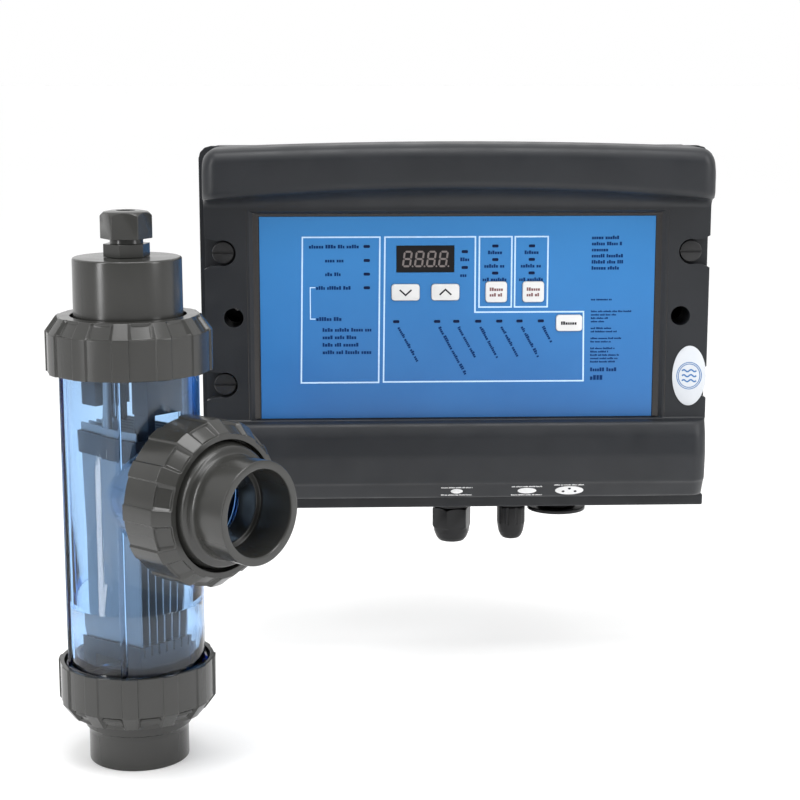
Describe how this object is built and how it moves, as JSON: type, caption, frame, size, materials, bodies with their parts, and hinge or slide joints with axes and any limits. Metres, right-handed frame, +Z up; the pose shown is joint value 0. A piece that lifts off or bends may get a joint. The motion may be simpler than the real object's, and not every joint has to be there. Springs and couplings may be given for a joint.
{
  "type": "salt chlorine generator",
  "caption": "Pool salt chlorine generator: wall-mounted controller with a keypad, and a clear plumbed electrolytic cell with union nuts, a side port and lift-out electrodes.",
  "frame": {"origin": "centre of the controller's rear face, which hangs flat on a wall", "axes": "+X to the right seen from the front, +Y back into the wall, +Z up"},
  "size_m": [0.5207, 0.3972, 0.4435],
  "materials": {
    "case": "satin moulded ABS, charcoal",
    "pvc": "semi-gloss dark grey UPVC",
    "clear": "clear moulded plastic with a blue tint",
    "seal": "matt black rubber",
    "fascia": "printed polyester membrane, blue",
    "display": "dark display filter",
    "key": "white key caps",
    "label": "white sticker",
    "electrode": "coated titanium",
    "holder": "dark moulded plastic",
    "steel": "plain steel",
    "copper": "enamelled copper",
    "board": "green circuit board",
    "sink": "extruded aluminium",
    "component": "dark blue component cases"
  },
  "bodies": {
    "root": {"rear_case": "case", "case_gasket": "seal", "transformer_core": "steel", "transformer_winding": "copper", "heat_sink": "sink", "power_board": "board", "terminal_block": "component", "relay": "component", "capacitor": "component", "mains_gland_body": "case", "mains_gland_seal": "seal", "lead_gland_body": "case", "lead_gland_seal": "seal", "outlet_socket": "case", "flap_pin": "steel", "cell_body": "clear", "side_oring": "seal", "bottom_oring": "seal"},
    "cover": {"front_cover": "case", "fascia_panel": "fascia", "display_window": "display", "display_board": "board", "oval_label": "label"},
    "electrode_unit": {"electrode_head": "pvc", "head_oring": "seal", "head_gland_body": "pvc", "head_gland_seal": "seal", "terminal_rod_left": "electrode", "terminal_rod_right": "electrode", "plate_holder": "holder", "plate_clamp": "holder", "electrode_plate_1": "electrode", "electrode_plate_2": "electrode", "electrode_plate_3": "electrode", "electrode_plate_4": "electrode", "electrode_plate_5": "electrode", "electrode_plate_6": "electrode", "electrode_plate_7": "electrode"},
    "top_nut": {"top_nut": "pvc"},
    "head_gland_nut": {"head_gland_nut": "pvc"},
    "side_tail": {"side_tail": "pvc"},
    "side_nut": {"side_nut": "pvc"},
    "bottom_tail": {"bottom_tail": "pvc"},
    "bottom_nut": {"bottom_nut": "pvc"},
    "mains_gland_nut": {"mains_gland_nut": "case"},
    "lead_gland_nut": {"lead_gland_nut": "case"},
    "outlet_flap": {"outlet_flap": "case"},
    "key_down": {"key_down": "key"},
    "key_up": {"key_up": "key"},
    "key_pump": {"key_pump": "key"},
    "key_light": {"key_light": "key"},
    "key_select": {"key_select": "key"},
    "cover_screw_left_upper": {"cover_screw_left_upper": "case"},
    "cover_screw_left_lower": {"cover_screw_left_lower": "case"},
    "cover_screw_right_upper": {"cover_screw_right_upper": "case"},
    "cover_screw_right_lower": {"cover_screw_right_lower": "case"}
  },
  "joints": [
    {"name": "cover_slide", "type": "slide", "parent": "root", "child": "cover", "axis": [0, -1, 0], "range_m": [0, 0.04]},
    {"name": "electrode_lift", "type": "slide", "parent": "root", "child": "electrode_unit", "axis": [0, 0, 1], "range_m": [0, 0.26]},
    {"name": "top_nut_turn", "type": "hinge", "parent": "electrode_unit", "child": "top_nut", "pos_m": [-0.249, -0.282, 0.019], "axis": [0, 0, 1], "continuous": true},
    {"name": "head_gland_turn", "type": "hinge", "parent": "electrode_unit", "child": "head_gland_nut", "pos_m": [-0.249, -0.282, 0.099], "axis": [0, 0, 1], "continuous": true},
    {"name": "side_tail_slide", "type": "slide", "parent": "root", "child": "side_tail", "axis": [0.7312, -0.6822, 0], "range_m": [0, 0.012]},
    {"name": "side_nut_turn", "type": "hinge", "parent": "side_tail", "child": "side_nut", "pos_m": [-0.1927, -0.33453, -0.0865], "axis": [0.7312, -0.6822, 0], "range_deg": [0, 1080]},
    {"name": "bottom_tail_slide", "type": "slide", "parent": "root", "child": "bottom_tail", "axis": [0, 0, -1], "range_m": [0, 0.012]},
    {"name": "bottom_nut_turn", "type": "hinge", "parent": "bottom_tail", "child": "bottom_nut", "pos_m": [-0.249, -0.282, -0.235], "axis": [0, 0, -1], "range_deg": [0, 1080]},
    {"name": "mains_gland_turn", "type": "hinge", "parent": "root", "child": "mains_gland_nut", "pos_m": [0, -0.0335, -0.17], "axis": [0, 0, 1], "continuous": true},
    {"name": "lead_gland_turn", "type": "hinge", "parent": "root", "child": "lead_gland_nut", "pos_m": [0.052, -0.0335, -0.17], "axis": [0, 0, 1], "continuous": true},
    {"name": "flap_hinge", "type": "hinge", "parent": "root", "child": "outlet_flap", "pos_m": [0.0915, -0.007, -0.1652], "axis": [1, 0, 0], "range_deg": [0, 85], "stiffness_Nm_per_rad": 0.02, "springref_deg": -20.05},
    {"name": "press_down", "type": "slide", "parent": "cover", "child": "key_down", "axis": [0, 1, 0], "range_m": [0, 0.001], "stiffness_N_per_m": 800, "springref_m": -0.0005},
    {"name": "press_up", "type": "slide", "parent": "cover", "child": "key_up", "axis": [0, 1, 0], "range_m": [0, 0.001], "stiffness_N_per_m": 800, "springref_m": -0.0005},
    {"name": "press_pump", "type": "slide", "parent": "cover", "child": "key_pump", "axis": [0, 1, 0], "range_m": [0, 0.001], "stiffness_N_per_m": 800, "springref_m": -0.0005},
    {"name": "press_light", "type": "slide", "parent": "cover", "child": "key_light", "axis": [0, 1, 0], "range_m": [0, 0.001], "stiffness_N_per_m": 800, "springref_m": -0.0005},
    {"name": "press_select", "type": "slide", "parent": "cover", "child": "key_select", "axis": [0, 1, 0], "range_m": [0, 0.001], "stiffness_N_per_m": 800, "springref_m": -0.0005},
    {"name": "screw_turn_left_upper", "type": "hinge", "parent": "cover", "child": "cover_screw_left_upper", "pos_m": [-0.1915, -0.09, 0.064], "axis": [0, -1, 0], "range_deg": [0, 90]},
    {"name": "screw_turn_left_lower", "type": "hinge", "parent": "cover", "child": "cover_screw_left_lower", "pos_m": [-0.1915, -0.09, -0.0445], "axis": [0, -1, 0], "range_deg": [0, 90]},
    {"name": "screw_turn_right_upper", "type": "hinge", "parent": "cover", "child": "cover_screw_right_upper", "pos_m": [0.1915, -0.09, 0.064], "axis": [0, -1, 0], "range_deg": [0, 90]},
    {"name": "screw_turn_right_lower", "type": "hinge", "parent": "cover", "child": "cover_screw_right_lower", "pos_m": [0.1915, -0.09, -0.0445], "axis": [0, -1, 0], "range_deg": [0, 90]}
  ],
  "couplings": [
    {"joint": "side_tail_slide", "follows": "side_nut_turn", "m_per_rad": 0.000636},
    {"joint": "bottom_tail_slide", "follows": "bottom_nut_turn", "m_per_rad": 0.000636}
  ]
}
